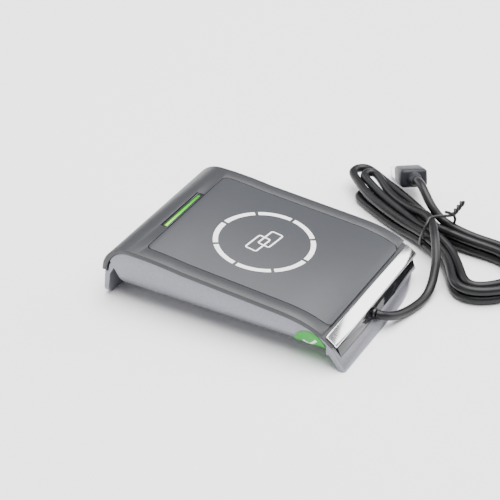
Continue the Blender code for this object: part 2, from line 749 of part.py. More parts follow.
def make_plug():
    jacket = cable_jacket()
    steel = material("plug_steel", (0.75, 0.75, 0.77), 0.22, 1.0)
    half_w = PLUG_WIDTH / 2
    half_h = PLUG_HEIGHT / 2
    grip = rounded_box("plug_grip", (0, -half_w, -half_h), (PLUG_LENGTH, half_w, half_h), jacket, 1.6 * MM, 3)
    relief = rod(
        "plug_relief", 2.4 * MM, RELIEF_LENGTH, (-RELIEF_LENGTH / 2 - GAP, 0, 0), (1, 0, 0), jacket, 24, 3.4 * MM
    )
    start = PLUG_LENGTH + GAP
    shell_w = SHELL_WIDTH / 2
    shell_h = SHELL_HEIGHT / 2
    shell = box("plug_shell", (start, -shell_w, -shell_h), (start + SHELL_LENGTH, shell_w, shell_h), steel)
    hollow = box(
        "cut_shell_hollow",
        (start + 0.8 * MM, -shell_w + SHELL_WALL, -shell_h + SHELL_WALL),
        (start + SHELL_LENGTH + 2 * MM, shell_w - SHELL_WALL, shell_h - SHELL_WALL),
        steel,
    )
    tongue_low = start + 0.8 * MM + GAP
    tongue = box(
        "plug_tongue",
        (tongue_low, -shell_w + SHELL_WALL + GAP, 0.1 * MM),
        (start + SHELL_LENGTH - 0.6 * MM, shell_w - SHELL_WALL - GAP, shell_h - SHELL_WALL - GAP),
        material("tongue_plastic", (0.03, 0.03, 0.035), 0.4),
    )
    for obj in (grip, relief, shell, hollow, tongue):
        obj.matrix_world = plug_frame()
    boolean(shell, hollow)


def make_all():
    clear_scene()
    make_cover()
    make_panel()
    make_light_bar()
    make_trim()
    make_base()
    make_end_panel()
    make_strain_relief()
    make_board()
    make_antenna()
    make_components()
    make_fasteners()
    make_feet()
    make_labels()
    make_cord()
    make_tie()
    make_plug()


make_all()
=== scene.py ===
"""Looks for a desktop contactless card reader: its housing, print, trim, and tied USB lead. Metres, +Z up."""

import math

import bmesh
import bpy
from mathutils import Matrix, Vector


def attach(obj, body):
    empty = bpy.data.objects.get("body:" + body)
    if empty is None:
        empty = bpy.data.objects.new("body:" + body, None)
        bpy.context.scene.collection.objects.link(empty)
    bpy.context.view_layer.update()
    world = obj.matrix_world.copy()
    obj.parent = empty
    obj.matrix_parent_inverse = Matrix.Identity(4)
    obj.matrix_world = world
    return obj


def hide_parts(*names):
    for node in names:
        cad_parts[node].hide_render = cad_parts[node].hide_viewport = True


bl_info = {
    "name": "Card reader looks",
    "version": (1, 0, 0),
    "blender": (4, 5, 0),
    "location": "View3D > Sidebar > Card reader",
    "description": "Builds the finished pieces of a desktop card reader round its packed frame",
    "category": "Object",
}

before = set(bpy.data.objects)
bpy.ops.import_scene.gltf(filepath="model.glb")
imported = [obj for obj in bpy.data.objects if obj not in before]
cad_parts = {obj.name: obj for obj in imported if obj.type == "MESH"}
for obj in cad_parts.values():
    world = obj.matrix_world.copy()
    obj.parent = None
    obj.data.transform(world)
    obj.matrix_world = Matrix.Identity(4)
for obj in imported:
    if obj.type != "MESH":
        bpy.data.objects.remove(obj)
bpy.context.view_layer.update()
MM = 0.001

# Side line of the cover, as the frame has it
ROLL_X = -44.5 * MM
TOP_Z = 26.7 * MM
FALL_SLOPE = 0.075
EASE_LENGTH = 25.0 * MM
DROOP_START = 23.0 * MM
DROOP = 2.47e-4 / MM**2

# Rounded lower edge of the base, where the round sticker sits
EDGE_RADIUS = 8.0 * MM
EDGE_Y = -31.0 * MM
EDGE_Z = 13.5 * MM
STICKER_X = 41.4 * MM
STICKER_ANGLE = math.radians(220.0)
STICKER_RADIUS = 7.25 * MM
STICKER_RIM = 1.8 * MM
STICKER_THICKNESS = 0.2 * MM
TICK_WIDTH = 1.1 * MM
# Centre, length and turn of the tick's two strokes
TICK_STROKES = (
    ((-1.6 * MM, 0.4 * MM), 3.6 * MM, math.radians(-45.0)),
    ((1.3 * MM, 1.5 * MM), 6.4 * MM, math.radians(50.0)),
)
INK_LIFT = 0.04 * MM
INK_THICKNESS = 0.03 * MM

# The lead and its hank, in millimetres
LEAD_ROUTE = (
    (55.6, -4.5, 7.2),
    (57.3, -4.1, 6.9),
    (59.1, -2.5, 6.0),
    (60.5, 0.4, 4.7),
    (61.6, 4.0, 3.4),
    (62.7, 8.0, 2.5),
    (63.8, 12.0, 2.1),
    (65.0, 16.8, 2.1),
    (65.7, 21.6, 2.2),
    (65.8, 26.4, 3.0),
    (65.3, 31.0, 5.0),
    (64.3, 35.4, 8.2),
    (62.8, 39.8, 11.5),
    (60.4, 44.6, 14.0),
    (57.2, 50.4, 15.2),
    (53.6, 56.8, 15.4),
    (50.2, 62.2, 15.0),
    (46.0, 67.2, 13.6),
    (40.6, 71.2, 11.4),
    (34.0, 75.2, 9.2),
)
TAIL_ROUTE = (
    (53.2, 71.0, 9.6),
    (49.4, 71.8, 12.2),
    (46.0, 72.6, 15.0),
    (43.0, 74.6, 17.2),
    (40.2, 77.0, 18.9),
    (37.6, 79.6, 19.8),
    (35.3, 82.0, 19.7),
    (33.2, 84.7, 18.6),
)
RIGHT_OUTER = (
    (57.4, 54.6),
    (64.6, 48.6),
    (69.8, 40.6),
    (74.2, 33.4),
    (81.0, 30.4),
    (89.4, 33.6),
    (97.2, 41.4),
    (100.6, 50.4),
    (98.6, 59.2),
    (91.0, 66.6),
    (80.0, 70.2),
    (68.4, 69.8),
)
RIGHT_INNER = (
    (59.6, 58.2),
    (66.6, 52.0),
    (72.6, 44.0),
    (77.0, 37.4),
    (81.6, 34.8),
    (87.0, 37.2),
    (93.4, 43.8),
    (96.4, 50.8),
    (94.6, 57.4),
    (88.8, 62.8),
    (79.6, 66.0),
    (68.4, 65.6),
)
WAIST = Vector((53.0, 64.0))
LOBE_AXIS = Vector((-0.887, 0.462))
LOBE_SIDE = Vector((0.462, 0.887))
OUTER_COLUMN = 6.3
INNER_COLUMN = 2.1
TOP_ROW = 6.6
BOTTOM_ROW = 2.4
WAIST_LIFT = 2.0
WAIST_REACH = 22.0
TOP_NOSE = (60.0, 3.2)
BOTTOM_NOSE = (48.5, -1.6)
OUTER_NOSE_RADIUS = 4.9
INNER_NOSE_RADIUS = 3.4
INNER_NOSE_BACK = 6.5
OUTER_SWELL = 0.7
NOSE_TAPER = 16.0
LOOSE_LIFT = 1.6
STEPS_PER_POINT = 5
RELAXING_ROUNDS = 10

# Wire tie round the hank's waist, in millimetres
TIE_TURN = math.radians(-27.5)
TIE_HALF_WIDTH = 9.4
TIE_HALF_HEIGHT = 8.5
TIE_MIDDLE = 9.2
TIE_WIRE = 1.3
TWIST_START = (8.6, 15.0)
TWIST_RUN = (5.2, 4.6)
TWIST_RADIUS = 0.75
TWIST_ANGLE = math.radians(600.0)


# ---------------------------------------------------------------- settings


class HousingSettings(bpy.types.PropertyGroup):
    edge_softness: bpy.props.FloatProperty(
        name="Edge softness", description="Width of the small rounding on moulded edges", default=0.35 * MM,
        min=0.05 * MM, max=1.0 * MM, subtype="DISTANCE", unit="LENGTH",
    )
    cover_colour: bpy.props.FloatVectorProperty(
        name="Cover colour", description="Colour of the dark moulded cover", default=(0.03, 0.031, 0.035),
        size=3, subtype="COLOR", min=0.0, max=1.0,
    )
    panel_colour: bpy.props.FloatVectorProperty(
        name="Panel colour", description="Colour of the inset top panel", default=(0.034, 0.036, 0.042),
        size=3, subtype="COLOR", min=0.0, max=1.0,
    )
    base_colour: bpy.props.FloatVectorProperty(
        name="Base colour", description="Colour of the silver base", default=(0.23, 0.23, 0.26),
        size=3, subtype="COLOR", min=0.0, max=1.0,
    )


class PrintSettings(bpy.types.PropertyGroup):
    ring_radius: bpy.props.FloatProperty(
        name="Ring radius", description="Middle of the printed ring's stroke", default=21.0 * MM,
        subtype="DISTANCE", unit="LENGTH",
    )
    ring_stroke: bpy.props.FloatProperty(
        name="Ring stroke", description="Width of the printed ring's stroke", default=2.2 * MM,
        subtype="DISTANCE", unit="LENGTH",
    )
    ring_arcs: bpy.props.IntProperty(
        name="Arcs", description="How many arcs the ring is cut into", default=8, min=2,
    )
    ring_gap: bpy.props.FloatProperty(
        name="Gap", description="Angle left open between two arcs", default=math.radians(4.0),
        subtype="ANGLE",
    )


class CordSettings(bpy.types.PropertyGroup):
    diameter: bpy.props.FloatProperty(
        name="Diameter", description="Outer diameter of the lead", default=4.0 * MM,
        subtype="DISTANCE", unit="LENGTH",
    )
    length: bpy.props.FloatProperty(
        name="Length", description="Length of the lead from the housing to its plug", default=1.06,
        subtype="DISTANCE", unit="LENGTH",
    )


class StageSettings(bpy.types.PropertyGroup):
    focal_length: bpy.props.FloatProperty(
        name="Focal length", description="Camera focal length on a 36 mm sensor", default=119.65,
        unit="CAMERA",
    )
    azimuth: bpy.props.FloatProperty(
        name="Azimuth", description="How far the camera stands round from -Y towards +X",
        default=math.radians(29.1), subtype="ANGLE",
    )
    elevation: bpy.props.FloatProperty(
        name="Elevation", description="How high the camera stands above the table",
        default=math.radians(33.53), subtype="ANGLE",
    )
    distance: bpy.props.FloatProperty(
        name="Distance", description="From the camera to the point it looks at", default=0.7477,
        subtype="DISTANCE", unit="LENGTH",
    )


# ---------------------------------------------------------------- materials


def node(tree, kind, **values):
    made = tree.nodes.new(kind)
    for key, value in values.items():
        setattr(made, key, value)
    return made


def finish(
    name, colour, roughness, metallic=0.0, grain=0.4, bump=0.02, mottle=0.08, coat=0.0, coat_roughness=0.1,
    variation=0.05, patch=9.0, specular=0.5,
):
    """A moulded or metal finish: fine grain in the relief and roughness, and slow patches of colour.

    Grain, bump and patch are sizes in millimetres.
    """
    found = bpy.data.materials.get(name)
    if found:
        return found
    made = bpy.data.materials.new(name)
    made.use_nodes = True
    tree = made.node_tree
    shader = tree.nodes["Principled BSDF"]
    shader.inputs["Metallic"].default_value = metallic
    shader.inputs["Specular IOR Level"].default_value = specular
    shader.inputs["Coat Weight"].default_value = coat
    shader.inputs["Coat Roughness"].default_value = coat_roughness
    made.diffuse_color = (*colour, 1.0)
    place = node(tree, "ShaderNodeTexCoord")
    fine = node(tree, "ShaderNodeTexNoise")
    fine.inputs["Scale"].default_value = 1.0 / (grain * MM)
    fine.inputs["Detail"].default_value = 3.0
    slow = node(tree, "ShaderNodeTexNoise")
    slow.inputs["Scale"].default_value = 1.0 / (patch * MM)
    slow.inputs["Detail"].default_value = 5.0
    tree.links.new(place.outputs["Object"], fine.inputs["Vector"])
    tree.links.new(place.outputs["Object"], slow.inputs["Vector"])
    relief = node(tree, "ShaderNodeBump")
    relief.inputs["Distance"].default_value = bump * MM
    relief.inputs["Strength"].default_value = 0.6
    tree.links.new(fine.outputs["Fac"], relief.inputs["Height"])
    tree.links.new(relief.outputs["Normal"], shader.inputs["Normal"])
    tone = node(tree, "ShaderNodeMix", data_type="RGBA")
    tone.inputs[6].default_value = (*[c * (1 - mottle) for c in colour], 1.0)
    tone.inputs[7].default_value = (*[min(1.0, c * (1 + mottle)) for c in colour], 1.0)
    tree.links.new(slow.outputs["Fac"], tone.inputs[0])
    tree.links.new(tone.outputs[2], shader.inputs["Base Color"])
    spread = node(tree, "ShaderNodeMapRange")
    spread.inputs["From Min"].default_value = 0.3
    spread.inputs["From Max"].default_value = 0.7
    spread.inputs["To Min"].default_value = max(0.02, roughness - variation)
    spread.inputs["To Max"].default_value = roughness + variation
    tree.links.new(fine.outputs["Fac"], spread.inputs["Value"])
    tree.links.new(spread.outputs["Result"], shader.inputs["Roughness"])
    return made


def cover_plastic():
    colour = bpy.context.scene.reader_housing.cover_colour[:]
    return finish("cover_plastic", colour, 0.4, grain=0.5, bump=0.012, mottle=0.05)


def panel_plastic():
    colour = bpy.context.scene.reader_housing.panel_colour[:]
    return finish("panel_plastic", colour, 0.5, grain=0.35, bump=0.02, mottle=0.04)


def silver_paint():
    colour = bpy.context.scene.reader_housing.base_colour[:]
    return finish(
        "silver_paint", colour, 0.4, metallic=0.7, grain=0.35, bump=0.06, mottle=0.16, variation=0.12,
        patch=0.9,
    )


def polished_trim():
    return finish("polished_trim", (0.9, 0.9, 0.91), 0.12, metallic=1.0, grain=0.6, bump=0.003, mottle=0.02,
                  variation=0.03)


def piano_black():
    return finish("piano_black", (0.012, 0.012, 0.014), 0.08, grain=0.8, bump=0.002, mottle=0.1, coat=0.6,
                  coat_roughness=0.04, variation=0.02)


def lead_jacket():
    return finish(
        "lead_jacket", (0.009, 0.009, 0.01), 0.36, grain=0.6, bump=0.02, mottle=0.15, variation=0.06,
        specular=0.28,
    )


def plug_rubber():
    return finish("plug_rubber", (0.016, 0.017, 0.022), 0.46, grain=0.35, bump=0.03, mottle=0.1, specular=0.3)


def tie_plastic():
    return finish("tie_plastic", (0.012, 0.012, 0.013), 0.35, grain=0.5, bump=0.02)


def white_ink():
    return finish("white_ink", (0.9, 0.9, 0.9), 0.45, grain=0.2, bump=0.004, mottle=0.03)


def green_film():
    return finish("green_film", (0.008, 0.3, 0.018), 0.4, grain=0.5, bump=0.004, mottle=0.08)


def green_lens():
    """A tinted lens with a painted glow, as if lit from below: lime at its near end and deeper green at its
    far end.
    """
    made = finish("green_lens", (0.12, 0.6, 0.02), 0.3, grain=0.7, bump=0.004)
    tree = made.node_tree
    shader = tree.nodes["Principled BSDF"]
    place = node(tree, "ShaderNodeTexCoord")
    split = node(tree, "ShaderNodeSeparateXYZ")
    tree.links.new(place.outputs["Object"], split.inputs[0])
    along = node(tree, "ShaderNodeMapRange")
    along.inputs["From Min"].default_value = -14.5 * MM
    along.inputs["From Max"].default_value = 14.5 * MM
    tree.links.new(split.outputs["Y"], along.inputs["Value"])
    # Painted glow: the same lime-to-green gradient goes into the base colour and the emission, brightest at
    # the near end.
    ramp = node(tree, "ShaderNodeValToRGB")
    ramp.color_ramp.elements[0].color = (0.2, 0.72, 0.01, 1.0)
    ramp.color_ramp.elements[1].color = (0.02, 0.22, 0.01, 1.0)
    middle = ramp.color_ramp.elements.new(0.45)
    middle.color = (0.05, 0.45, 0.01, 1.0)
    tree.links.new(along.outputs["Result"], ramp.inputs["Fac"])
    tree.links.new(ramp.outputs["Color"], shader.inputs["Base Color"])
    tree.links.new(ramp.outputs["Color"], shader.inputs["Emission Color"])
    shader.inputs["Emission Strength"].default_value = 0.35
    return made


# ---------------------------------------------------------------- mesh tools


def keep_piece(name, bm, material, slot, *replaced):
    """Turns the bmesh into a piece of the reader that rides on its one body."""
    bmesh.ops.recalc_face_normals(bm, faces=bm.faces)
    mesh = bpy.data.meshes.new(name)
    bm.to_mesh(mesh)
    bm.free()
    mesh.materials.append(material)
    mesh.shade_smooth()
    mesh.set_sharp_from_angle(angle=math.radians(38.0))
    piece = bpy.data.objects.new(name, mesh)
    bpy.context.scene.collection.objects.link(piece)
    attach(piece, "root")
    if replaced:
        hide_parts(*replaced)
    return piece


def refined(source, soften, segments=2, least_angle=33.0):
    """A merged copy of a frame node as a bmesh, with its sharp edges softened."""
    bm = bmesh.new()
    bm.from_mesh(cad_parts[source].data)
    bmesh.ops.remove_doubles(bm, verts=bm.verts, dist=0.004 * MM)
    bmesh.ops.dissolve_limit(
        bm, angle_limit=math.radians(0.7), use_dissolve_boundaries=False, verts=bm.verts, edges=bm.edges,
    )
    if soften:
        least = math.radians(least_angle)
        sharp = [e for e in bm.edges if len(e.link_faces) == 2 and e.calc_face_angle(0) > least]
        bmesh.ops.bevel(
            bm, geom=sharp, offset=soften, offset_type="OFFSET", segments=segments, profile=0.5,
            affect="EDGES", clamp_overlap=True, material=-1,
        )
    return bm


def refine_piece(name, source, material, slot, soften, segments=2):
    return keep_piece(name, refined(source, soften, segments), material, slot, source)


def crown(x):
    """Height of the cover's outer face behind the roll."""
    ease = min(1.0, (x - ROLL_X) / EASE_LENGTH)
    return TOP_Z - FALL_SLOPE * (x - ROLL_X) * ease - DROOP * max(0.0, x - DROOP_START) ** 3


# ---------------------------------------------------------------- housing


class READER_OT_cover(bpy.types.Operator):
    """Make the curved cover, the panel let into it and the polished trim"""

    bl_idname = "reader.cover"
    bl_label = "Cover, panel and trim"

    def execute(self, context):
        soft = context.scene.reader_housing.edge_softness
        refine_piece("cover_shell", "top_cover", cover_plastic(), "cover", soft)
        refine_piece("panel_plate", "top_panel", panel_plastic(), "panel", 0.2 * MM)
        refine_piece("polished_strip", "end_trim", polished_trim(), "trim", 0.15 * MM)
        refine_piece("gloss_end_panel", "end_panel", piano_black(), "end_panel", 0.2 * MM)
        return {"FINISHED"}


class READER_OT_base(bpy.types.Operator):
    """Make the silver base with its leg and ramp"""

    bl_idname = "reader.base"
    bl_label = "Silver base"

    def execute(self, context):
        soft = context.scene.reader_housing.edge_softness
        refine_piece("silver_base", "base_shell", silver_paint(), "base", soft)
        return {"FINISHED"}


class READER_OT_light(bpy.types.Operator):
    """Make the light bar and its dark frame"""

    bl_idname = "reader.light"
    bl_label = "Light bar"

    def execute(self, context):
        refine_piece("light_frame", "light_bar_frame", piano_black(), "bar_frame", 0.15 * MM)
        refine_piece("light_lens", "light_bar", green_lens(), "light_lens", 0.1 * MM)
        return {"FINISHED"}


def lay_on_panel(bm, lift):
    """Moves flat print onto the panel's curve."""
    for vert in bm.verts:
        vert.co.z = crown(vert.co.x) + lift
    grown = bmesh.ops.extrude_face_region(bm, geom=bm.faces[:])
    raised = [v for v in grown["geom"] if isinstance(v, bmesh.types.BMVert)]
    bmesh.ops.translate(bm, verts=raised, vec=(0.0, 0.0, INK_THICKNESS))


RING_CENTRE = Vector((-0.1, -0.6, 0.0)) * MM
RING_TURN = math.radians(-7.0)
CARD_SIZE = (6.3 * MM, 11.6 * MM)
CARD_STROKE = 0.75 * MM
CARD_TURN = math.radians(-6.0)
CARD_CENTRES = ((-1.85 * MM, -3.3 * MM), (1.35 * MM, 2.2 * MM))


def make_ring_arc(index, settings):
    """One arc of the printed ring, spun from a short radial edge."""
    step = 2 * math.pi / settings.ring_arcs
    start = RING_TURN + index * step + settings.ring_gap / 2
    bm = bmesh.new()
    inner = settings.ring_radius - settings.ring_stroke / 2
    outer = settings.ring_radius + settings.ring_stroke / 2
    ends = [bm.verts.new((r * math.cos(start), r * math.sin(start), 0.0)) for r in (inner, outer)]
    edge = bm.edges.new(ends)
    bmesh.ops.spin(
        bm, geom=[edge, *ends], cent=(0, 0, 0), axis=(0, 0, 1), dvec=(0, 0, 0),
        angle=step - settings.ring_gap, steps=16, use_merge=False, use_duplicate=False,
    )
    bmesh.ops.translate(bm, verts=bm.verts, vec=RING_CENTRE)
    lay_on_panel(bm, INK_LIFT)
    keep_piece("ring_arc_%d" % (index + 1), bm, white_ink(), "panel")


def make_card_outline(index, centre):
    """A rounded card outline: a plate with bevelled corners, inset and opened."""
    bm = bmesh.new()
    size = Matrix.Diagonal((CARD_SIZE[0], CARD_SIZE[1], 1.0, 1.0))
    bmesh.ops.create_grid(bm, x_segments=1, y_segments=1, size=0.5, matrix=size)
    bmesh.ops.bevel(
        bm, geom=bm.verts[:], offset=1.2 * MM, offset_type="OFFSET", segments=4, profile=0.5,
        affect="VERTICES", clamp_overlap=True, material=-1,
    )
    bmesh.ops.inset_region(
        bm, faces=bm.faces[:], use_boundary=True, thickness=CARD_STROKE, depth=0.0, use_even_offset=True,
    )
    middle = max(bm.faces, key=lambda f: f.calc_area())
    bmesh.ops.delete(bm, geom=[middle], context="FACES")
    turn = Matrix.Translation((centre[0], centre[1], 0.0)) @ Matrix.Rotation(CARD_TURN, 4, "Z")
    bmesh.ops.transform(bm, matrix=turn, verts=bm.verts)
    lay_on_panel(bm, INK_LIFT + 0.004 * MM * index)
    keep_piece("card_outline_%d" % (index + 1), bm, white_ink(), "panel")


class READER_OT_print(bpy.types.Operator):
    """Print the broken ring and the two card outlines on the panel"""

    bl_idname = "reader.print"
    bl_label = "Panel print"

    def execute(self, context):
        settings = context.scene.reader_print
        for index in range(settings.ring_arcs):
            make_ring_arc(index, settings)
        for index, centre in enumerate(CARD_CENTRES):
            make_card_outline(index, centre)
        return {"FINISHED"}


def wrap_on_edge(bm, lift):
    """Wraps flat work, drawn in x and y about the sticker's centre, round the base's lower edge."""
    for vert in bm.verts:
        angle = STICKER_ANGLE - vert.co.y / EDGE_RADIUS
        radius = EDGE_RADIUS + lift + vert.co.z
        vert.co = Vector(
            (STICKER_X + vert.co.x, EDGE_Y + radius * math.cos(angle), EDGE_Z + radius * math.sin(angle))
        )


class READER_OT_sticker(bpy.types.Operator):
    """Make the round sticker on the base's lower edge, with a plain tick on it"""

    bl_idname = "reader.sticker"
    bl_label = "Sticker"

    def execute(self, context):
        bm = bmesh.new()
        bmesh.ops.create_circle(bm, cap_ends=True, segments=64, radius=STICKER_RADIUS)
        bmesh.ops.inset_region(bm, faces=bm.faces[:], use_boundary=True, thickness=STICKER_RIM)
        for cut in range(-7, 8):
            bmesh.ops.bisect_plane(
                bm, geom=bm.verts[:] + bm.edges[:] + bm.faces[:], dist=1e-7,
                plane_co=(0, cut * 0.9 * MM, 0), plane_no=(0, 1, 0),
            )
        grown = bmesh.ops.extrude_face_region(bm, geom=bm.faces[:])
        raised = [v for v in grown["geom"] if isinstance(v, bmesh.types.BMVert)]
        bmesh.ops.translate(bm, verts=raised, vec=(0, 0, STICKER_THICKNESS))
        wrap_on_edge(bm, 0.08 * MM)
        keep_piece("round_sticker", bm, green_film(), "sticker", "inspection_sticker")
        for index, ((x, y), length, turn) in enumerate(TICK_STROKES):
            stroke = bmesh.new()
            place = Matrix.Translation((x, y, 0.0)) @ Matrix.Rotation(turn, 4, "Z")
            shape = place @ Matrix.Diagonal((length, TICK_WIDTH, 1.0, 1.0))
            bmesh.ops.create_grid(stroke, x_segments=8, y_segments=1, size=0.5, matrix=shape)
            grown = bmesh.ops.extrude_face_region(stroke, geom=stroke.faces[:])
            raised = [v for v in grown["geom"] if isinstance(v, bmesh.types.BMVert)]
            bmesh.ops.translate(stroke, verts=raised, vec=(0, 0, 0.04 * MM))
            wrap_on_edge(stroke, (0.3 + 0.01 * index) * MM)
            keep_piece("sticker_tick_%d" % (index + 1), stroke, white_ink(), "sticker")
        return {"FINISHED"}


FRAME_FINISHES = (
    ("board_laminate", (0.02, 0.13, 0.06), 0.4, 0.0, ("main_board",)),
    ("coil_copper", (0.72, 0.33, 0.15), 0.3, 1.0, ("antenna_coil",)),
    ("chip_resin", (0.02, 0.02, 0.022), 0.5, 0.0, ("reader_chip", "controller_chip", "memory_chip")),
    ("plated_can", (0.75, 0.75, 0.74), 0.25, 1.0, ("crystal",)),
    ("can_sleeve", (0.02, 0.02, 0.024), 0.3, 0.0, ("capacitor", "buzzer")),
    ("led_resin", (0.85, 0.9, 0.8), 0.2, 0.0, ("indicator_led_1", "indicator_led_2", "indicator_led_3")),
    ("clear_guide", (0.8, 0.85, 0.82), 0.12, 0.0, ("light_guide",)),
    ("white_nylon", (0.8, 0.79, 0.74), 0.45, 0.0, ("cable_socket", "cable_plug_inner")),
    ("zinc_plate", (0.7, 0.7, 0.72), 0.3, 1.0,
     ("case_screw_1", "case_screw_2", "case_screw_3", "case_screw_4")),
    ("foot_rubber", (0.02, 0.02, 0.021), 0.75, 0.0,
     ("rubber_foot_1", "rubber_foot_2", "rubber_foot_3", "rubber_foot_4")),
    ("label_foil", (0.66, 0.66, 0.67), 0.4, 0.3, ("rating_label",)),
    ("inner_jacket", (0.02, 0.02, 0.021), 0.45, 0.0, ("inner_cable",)),
)


class READER_OT_fittings(bpy.types.Operator):
    """Give the frame's own feet, screws, label and inside pieces their finishes"""

    bl_idname = "reader.fittings"
    bl_label = "Feet, screws and inside pieces"

    def execute(self, context):
        for name, colour, roughness, metallic, nodes in FRAME_FINISHES:
            material = finish(name, colour, roughness, metallic)
            for each in nodes:
                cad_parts[each].data.materials.clear()
                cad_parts[each].data.materials.append(material)
        return {"FINISHED"}


# ---------------------------------------------------------------- lead


def smooth_through(points, steps):
    """Points on a smooth curve through the route's own, with no loop where they stand unevenly apart."""
    points = [Vector(p) for p in points]
    ends = [points[0] * 2 - points[1]] + points + [points[-1] * 2 - points[-2]]
    found = []
    for k in range(len(points) - 1):
        a, b, c, d = ends[k : k + 4]
        first = math.sqrt((b - a).length)
        middle = first + math.sqrt((c - b).length)
        last = middle + math.sqrt((d - c).length)
        for j in range(steps):
            t = first + (middle - first) * j / steps
            low = a.lerp(b, t / first)
            mid = b.lerp(c, (t - first) / (middle - first))
            high = c.lerp(d, (t - middle) / (last - middle))
            early = low.lerp(mid, t / middle)
            late = mid.lerp(high, (t - first) / (last - first))
            found.append(early.lerp(late, (t - first) / (middle - first)))
    return found + [points[-1]]


def relaxed(points, rounds):
    """The route with its small unevenness drawn out, and its two ends left where they are."""
    for _ in range(rounds):
        inner = [(a + 2 * b + c) / 4 for a, b, c in zip(points, points[1:], points[2:])]
        points = [points[0], *inner, points[-1]]
    return points


def ease(t):
    t = max(0.0, min(1.0, t))
    return t * t * (3 - 2 * t)


def lobe_point(along, across, height):
    """A point of the left lobe: along its axis from the waist, across it, and its height in the lobe."""
    place = WAIST + LOBE_AXIS * along + LOBE_SIDE * across
    lift = WAIST_LIFT * (1 - ease(along / WAIST_REACH))
    return Vector((place.x, place.y, height + lift))


def left_loop(column_in, row_in, column, row, first):
    """Out along the far side, round the nose and back along the near side.

    The run out moves over from the slot it comes in by, and the first turn starts part way along it.
    """
    nose, shift = TOP_NOSE if row == TOP_ROW else BOTTOM_NOSE
    outer = column == OUTER_COLUMN
    radius = OUTER_NOSE_RADIUS if outer else INNER_NOSE_RADIUS
    nose -= 0.0 if outer else INNER_NOSE_BACK
    narrow_from = nose - NOSE_TAPER
    loose = LOOSE_LIFT if row == TOP_ROW else 0.0
    wide = column + (OUTER_SWELL if outer else 0.0)
    tucked = 0.0 if outer else LOOSE_LIFT

    def height_at(along, height):
        return height + loose * ease((along - 12.0) / 16.0) + tucked * ease((along - nose + 14.0) / 14.0)

    found = []
    for along in (5.0, 12.0, 20.0, narrow_from, nose - 0.4 * NOSE_TAPER):
        if first and along < narrow_from:
            continue
        share = ease((along - 4.0) / 20.0)
        narrow = ease((along - narrow_from) / NOSE_TAPER)
        across = column_in + (wide - column_in) * share
        height = row_in + (row - row_in) * share
        found.append(lobe_point(along, across + (shift + radius - across) * narrow, height_at(along, height)))
    for turn in (72, 36, 0, -36, -72):
        angle = math.radians(turn)
        along = nose + radius * math.cos(angle)
        found.append(lobe_point(along, shift + radius * math.sin(angle), height_at(along, row)))
    for along in (nose - 0.4 * NOSE_TAPER, narrow_from, 20.0, 11.0, 3.0):
        narrow = ease((along - narrow_from) / NOSE_TAPER)
        swell = -column - (wide - column) * ease((along - 11.0) / 9.0)
        across = swell + (shift - radius - swell) * narrow
        found.append(lobe_point(along, across, height_at(along, row)))
    return found


def right_loop(places, row):
    """Round the right lobe from its near side to its far side."""
    found = []
    for x, y in places:
        reach = (Vector((x, y)) - WAIST).length
        found.append(Vector((x, y, row + WAIST_LIFT * (1 - ease(reach / WAIST_REACH)))))
    return found


def lead_points():
    """The whole lead: from the collar, four turns through the tie, and up to the plug."""
    slots = (
        (INNER_COLUMN, TOP_ROW),
        (INNER_COLUMN, BOTTOM_ROW),
        (OUTER_COLUMN, BOTTOM_ROW),
        (OUTER_COLUMN, TOP_ROW),
    )
    route = [Vector(p) for p in LEAD_ROUTE]
    before = slots[0]
    for index, slot in enumerate(slots):
        route += left_loop(*before, *slot, first=index == 0)
        route += right_loop(RIGHT_OUTER if slot[0] == OUTER_COLUMN else RIGHT_INNER, slot[1])
        before = slot
    route += [Vector(p) for p in TAIL_ROUTE]
    return [p * MM for p in relaxed(smooth_through(route, STEPS_PER_POINT), RELAXING_ROUNDS)]


def make_tube(name, points, diameter, material, cyclic=False):
    curve = bpy.data.curves.new(name, "CURVE")
    curve.dimensions = "3D"
    curve.bevel_depth = diameter / 2
    curve.bevel_resolution = 4
    curve.use_fill_caps = True
    spline = curve.splines.new("POLY")
    spline.points.add(len(points) - 1)
    for place, point in zip(spline.points, points):
        place.co = (*point, 1.0)
    spline.use_cyclic_u = cyclic
    spline.use_smooth = True
    curve.materials.append(material)
    piece = bpy.data.objects.new(name, curve)
    bpy.context.scene.collection.objects.link(piece)
    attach(piece, "root")
    return piece


def twisted_end(phase):
    """One wire of the tie's twisted tail, wound round the other from its own phase."""
    found = []
    for step in range(0, 15):
        share = step / 14
        swing = TWIST_ANGLE * share + phase
        found.append(Vector((
            TWIST_RADIUS * math.cos(swing),
            TWIST_START[0] + TWIST_RUN[0] * share,
            TWIST_START[1] + TWIST_RUN[1] * share + TWIST_RADIUS * math.sin(swing),
        )))
    return found


def make_tie():
    """A wire tie round the waist: a flattened loop whose two ends are twisted together."""
    place = Matrix.Translation((WAIST.x * MM, WAIST.y * MM, 0.0)) @ Matrix.Rotation(TIE_TURN, 4, "Z")
    loop = []
    for step in range(0, 21):
        angle = math.radians(70.0 - 320.0 * step / 20)
        across = TIE_HALF_WIDTH * math.copysign(abs(math.cos(angle)) ** 0.75, math.cos(angle))
        height = TIE_MIDDLE + TIE_HALF_HEIGHT * math.copysign(abs(math.sin(angle)) ** 0.8, math.sin(angle))
        loop.append(Vector((1.2 * math.sin(3 * angle), across, height)))
    route = [place @ (p * MM) for p in smooth_through(loop + twisted_end(0.0), 4)]
    wire = make_tube("wire_tie", route, TIE_WIRE * MM, tie_plastic())
    route = [place @ (p * MM) for p in smooth_through(twisted_end(math.pi), 3)]
    second = make_tube("wire_tie_end", route, TIE_WIRE * MM, tie_plastic())
    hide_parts("twist_tie")
    return [wire, second]


